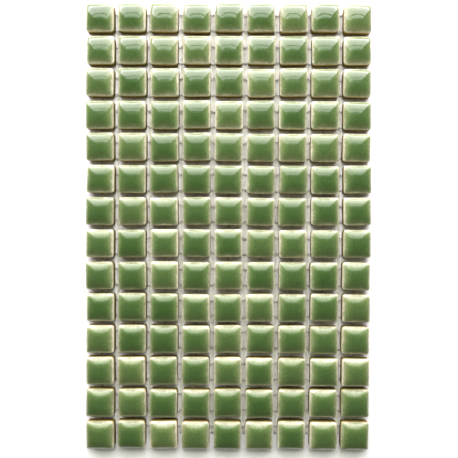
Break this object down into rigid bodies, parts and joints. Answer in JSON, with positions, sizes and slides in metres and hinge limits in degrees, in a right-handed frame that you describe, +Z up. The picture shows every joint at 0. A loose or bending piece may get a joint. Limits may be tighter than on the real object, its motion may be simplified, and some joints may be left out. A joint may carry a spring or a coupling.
{
  "type": "ceramic mosaic tile",
  "caption": "Sheet of small square pillow-faced mosaic tiles in green glaze, laid in a grid with open joints on a thread mesh backing.",
  "frame": {"origin": "on the floor under the middle of the sheet, at the underside of the mesh threads", "axes": "+Z up out of the glazed faces, +Y along the sheet's length towards its head (the top of the picture), +X across it to the right"},
  "size_m": [0.1029, 0.1606, 0.0058],
  "materials": {
    "green_glaze": "gloss",
    "mesh_thread": "matte"
  },
  "bodies": {
    "root": {"tile_row_01": "green_glaze", "tile_row_02": "green_glaze", "tile_row_03": "green_glaze", "tile_row_04": "green_glaze", "tile_row_05": "green_glaze", "tile_row_06": "green_glaze", "tile_row_07": "green_glaze", "tile_row_08": "green_glaze", "tile_row_09": "green_glaze", "tile_row_10": "green_glaze", "tile_row_11": "green_glaze", "tile_row_12": "green_glaze", "tile_row_13": "green_glaze", "tile_row_14": "green_glaze", "mesh_panel_1": "mesh_thread", "mesh_panel_2": "mesh_thread"}
  },
  "joints": []
}
